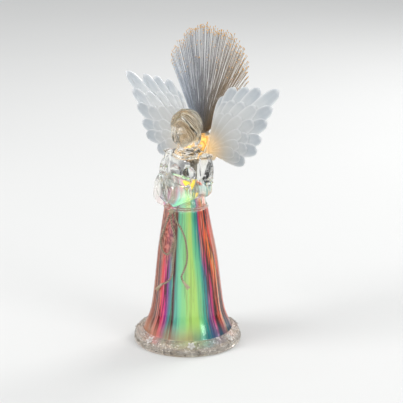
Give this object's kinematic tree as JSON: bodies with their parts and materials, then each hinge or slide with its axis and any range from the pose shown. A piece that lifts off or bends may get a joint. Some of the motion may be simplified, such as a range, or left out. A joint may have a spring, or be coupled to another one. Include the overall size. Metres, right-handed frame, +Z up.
{
  "type": "lighted acrylic angel",
  "caption": "Free-standing lighted clear acrylic angel with fluted gown, frosted feather wings, praying hands and a spray of light fibres behind the head.",
  "frame": {"origin": "middle of the base's underside, on the surface it stands on", "axes": "+Z up, the figure faces -Y, and its left wing points to +X"},
  "size_m": [0.1712, 0.106, 0.306],
  "materials": {
    "clear_acrylic": "polished clear moulding",
    "frosted_acrylic": "frosted",
    "iridescent_film": "iridescent film",
    "fibre": "drawn clear fibre with cut ends",
    "light_guide": "bundled fibres",
    "yellow_led": "tinted epoxy",
    "clear_led": "water-clear epoxy",
    "white_abs": "fine moulded texture",
    "cell_jacket": "satin",
    "contact_steel": "nickel plated",
    "switch_black": "moulded",
    "board_green": "solder mask",
    "chip_black": "moulded",
    "lead_white": "soft covering"
  },
  "bodies": {
    "angel": {"base_ring": "clear_acrylic", "gown_shell": "clear_acrylic", "iridescent_film": "iridescent_film", "figure_front": "clear_acrylic", "figure_back": "clear_acrylic", "wing_left": "frosted_acrylic", "wing_right": "frosted_acrylic", "fibre_spray": "fibre", "fibre_bundle": "light_guide", "fibre_ferrule": "clear_acrylic", "fibre_led": "yellow_led", "chest_led": "yellow_led", "led_holder": "clear_acrylic", "fibre_led_lead": "lead_white", "chest_led_lead": "lead_white", "battery_tray": "white_abs", "battery_cell_1": "cell_jacket", "battery_cell_2": "cell_jacket", "battery_cell_3": "cell_jacket", "contact_spring_1": "contact_steel", "contact_spring_2": "contact_steel", "contact_spring_3": "contact_steel", "contact_plate_positive": "contact_steel", "contact_link_right": "contact_steel", "contact_link_left": "contact_steel", "contact_plate_negative": "contact_steel", "switch_body": "switch_black", "circuit_board": "board_green", "controller_chip": "chip_black", "resistor_1": "chip_black", "resistor_2": "chip_black", "gown_led_1": "clear_led", "gown_led_2": "clear_led", "gown_led_3": "clear_led", "board_screw_1": "contact_steel", "board_screw_2": "contact_steel", "tray_screw_1": "contact_steel", "tray_screw_2": "contact_steel", "tray_screw_3": "contact_steel"},
    "battery_door": {"battery_door": "white_abs"},
    "switch_knob": {"switch_knob": "switch_black"}
  },
  "joints": [
    {"name": "battery_door_hinge", "type": "hinge", "parent": "angel", "child": "battery_door", "pos_m": [0, -0.0154, 0.00155], "axis": [-1, 0, 0], "range_deg": [0, 80]},
    {"name": "switch_slide", "type": "slide", "parent": "angel", "child": "switch_knob", "axis": [1, 0, 0], "range_m": [0, 0.002]}
  ]
}
